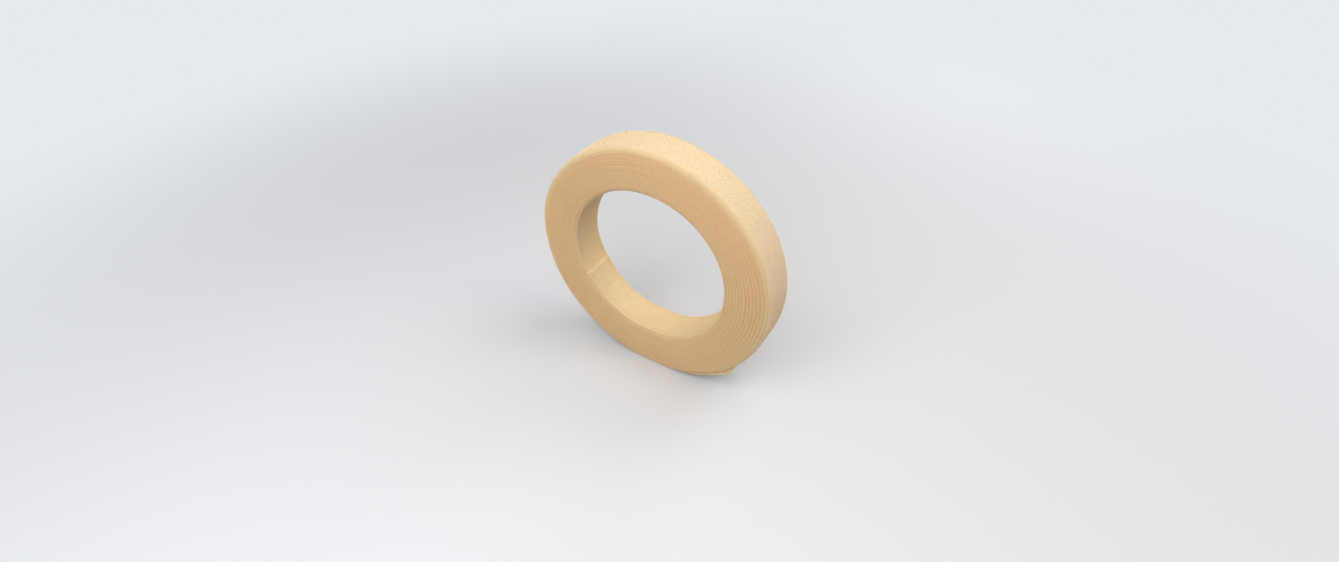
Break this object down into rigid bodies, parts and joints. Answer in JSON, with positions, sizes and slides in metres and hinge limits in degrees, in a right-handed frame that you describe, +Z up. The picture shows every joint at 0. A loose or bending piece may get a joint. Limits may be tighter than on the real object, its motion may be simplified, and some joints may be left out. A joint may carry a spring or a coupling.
{
  "type": "hook and loop tape roll",
  "caption": "Coreless roll of back-to-back hook and loop tape, standing on its rim, with an outer end that peels off and an inner end that bends into the bore.",
  "frame": {"origin": "middle of the flat foot, on the surface that the roll stands on", "axes": "+Z up, the roll's axis along Y with the pictured side face towards -Y, +X to the right seen from there"},
  "size_m": [0.0873, 0.0126, 0.0874],
  "materials": {
    "hook_film": "translucent cream polyolefin with moulded hooks",
    "loop_fabric": "brushed cream nylon loop knit"
  },
  "bodies": {
    "roll": {"wound_hook_film": "hook_film", "wound_loop_fabric": "loop_fabric"},
    "outer_end_1": {"outer_end_1_hook_film": "hook_film", "outer_end_1_loop_fabric": "loop_fabric"},
    "outer_end_2": {"outer_end_2_hook_film": "hook_film", "outer_end_2_loop_fabric": "loop_fabric"},
    "outer_end_3": {"outer_end_3_hook_film": "hook_film", "outer_end_3_loop_fabric": "loop_fabric"},
    "outer_end_4": {"outer_end_4_hook_film": "hook_film", "outer_end_4_loop_fabric": "loop_fabric"},
    "outer_end_5": {"outer_end_5_hook_film": "hook_film", "outer_end_5_loop_fabric": "loop_fabric"},
    "outer_end_6": {"outer_end_6_hook_film": "hook_film", "outer_end_6_loop_fabric": "loop_fabric"},
    "inner_end_1": {"inner_end_1_hook_film": "hook_film", "inner_end_1_loop_fabric": "loop_fabric"},
    "inner_end_2": {"inner_end_2_hook_film": "hook_film", "inner_end_2_loop_fabric": "loop_fabric"},
    "inner_end_3": {"inner_end_3_hook_film": "hook_film", "inner_end_3_loop_fabric": "loop_fabric"},
    "inner_end_4": {"inner_end_4_hook_film": "hook_film", "inner_end_4_loop_fabric": "loop_fabric"},
    "inner_end_5": {"inner_end_5_hook_film": "hook_film", "inner_end_5_loop_fabric": "loop_fabric"}
  },
  "joints": [
    {"name": "outer_end_peel", "type": "hinge", "parent": "roll", "child": "outer_end_1", "pos_m": [0.00657, 0, 0.00042], "axis": [0, 1, 0], "range_deg": [0, 10.95]},
    {"name": "outer_end_bend_2", "type": "hinge", "parent": "outer_end_1", "child": "outer_end_2", "pos_m": [0.01115, 0, 0.00131], "axis": [0, 1, 0], "range_deg": [0, 5.4]},
    {"name": "outer_end_bend_3", "type": "hinge", "parent": "outer_end_2", "child": "outer_end_3", "pos_m": [0.01563, 0, 0.00265], "axis": [0, 1, 0], "range_deg": [0, 5.4]},
    {"name": "outer_end_bend_4", "type": "hinge", "parent": "outer_end_3", "child": "outer_end_4", "pos_m": [0.01999, 0, 0.00441], "axis": [0, 1, 0], "range_deg": [0, 5.4]},
    {"name": "outer_end_bend_5", "type": "hinge", "parent": "outer_end_4", "child": "outer_end_5", "pos_m": [0.02417, 0, 0.00658], "axis": [0, 1, 0], "range_deg": [0, 5.4]},
    {"name": "outer_end_bend_6", "type": "hinge", "parent": "outer_end_5", "child": "outer_end_6", "pos_m": [0.02815, 0, 0.00916], "axis": [0, 1, 0], "range_deg": [0, 5.4]},
    {"name": "inner_end_peel", "type": "hinge", "parent": "roll", "child": "inner_end_1", "pos_m": [-0.01435, 0, 0.01888], "axis": [0, 1, 0], "range_deg": [0, 12]},
    {"name": "inner_end_bend_2", "type": "hinge", "parent": "inner_end_1", "child": "inner_end_2", "pos_m": [-0.01726, 0, 0.0207], "axis": [0, 1, 0], "range_deg": [0, 12]},
    {"name": "inner_end_bend_3", "type": "hinge", "parent": "inner_end_2", "child": "inner_end_3", "pos_m": [-0.01993, 0, 0.02286], "axis": [0, 1, 0], "range_deg": [0, 12]},
    {"name": "inner_end_bend_4", "type": "hinge", "parent": "inner_end_3", "child": "inner_end_4", "pos_m": [-0.02231, 0, 0.02532], "axis": [0, 1, 0], "range_deg": [0, 12]},
    {"name": "inner_end_bend_5", "type": "hinge", "parent": "inner_end_4", "child": "inner_end_5", "pos_m": [-0.02437, 0, 0.02805], "axis": [0, 1, 0], "range_deg": [0, 12]}
  ],
  "couplings": [
    {"joint": "outer_end_bend_2", "follows": "outer_end_peel", "ratio": 0.4935},
    {"joint": "outer_end_bend_3", "follows": "outer_end_peel", "ratio": 0.4935},
    {"joint": "outer_end_bend_4", "follows": "outer_end_peel", "ratio": 0.4935},
    {"joint": "outer_end_bend_5", "follows": "outer_end_peel", "ratio": 0.4935},
    {"joint": "outer_end_bend_6", "follows": "outer_end_peel", "ratio": 0.4935},
    {"joint": "inner_end_bend_2", "follows": "inner_end_peel", "ratio": 1},
    {"joint": "inner_end_bend_3", "follows": "inner_end_peel", "ratio": 1},
    {"joint": "inner_end_bend_4", "follows": "inner_end_peel", "ratio": 1},
    {"joint": "inner_end_bend_5", "follows": "inner_end_peel", "ratio": 1}
  ]
}
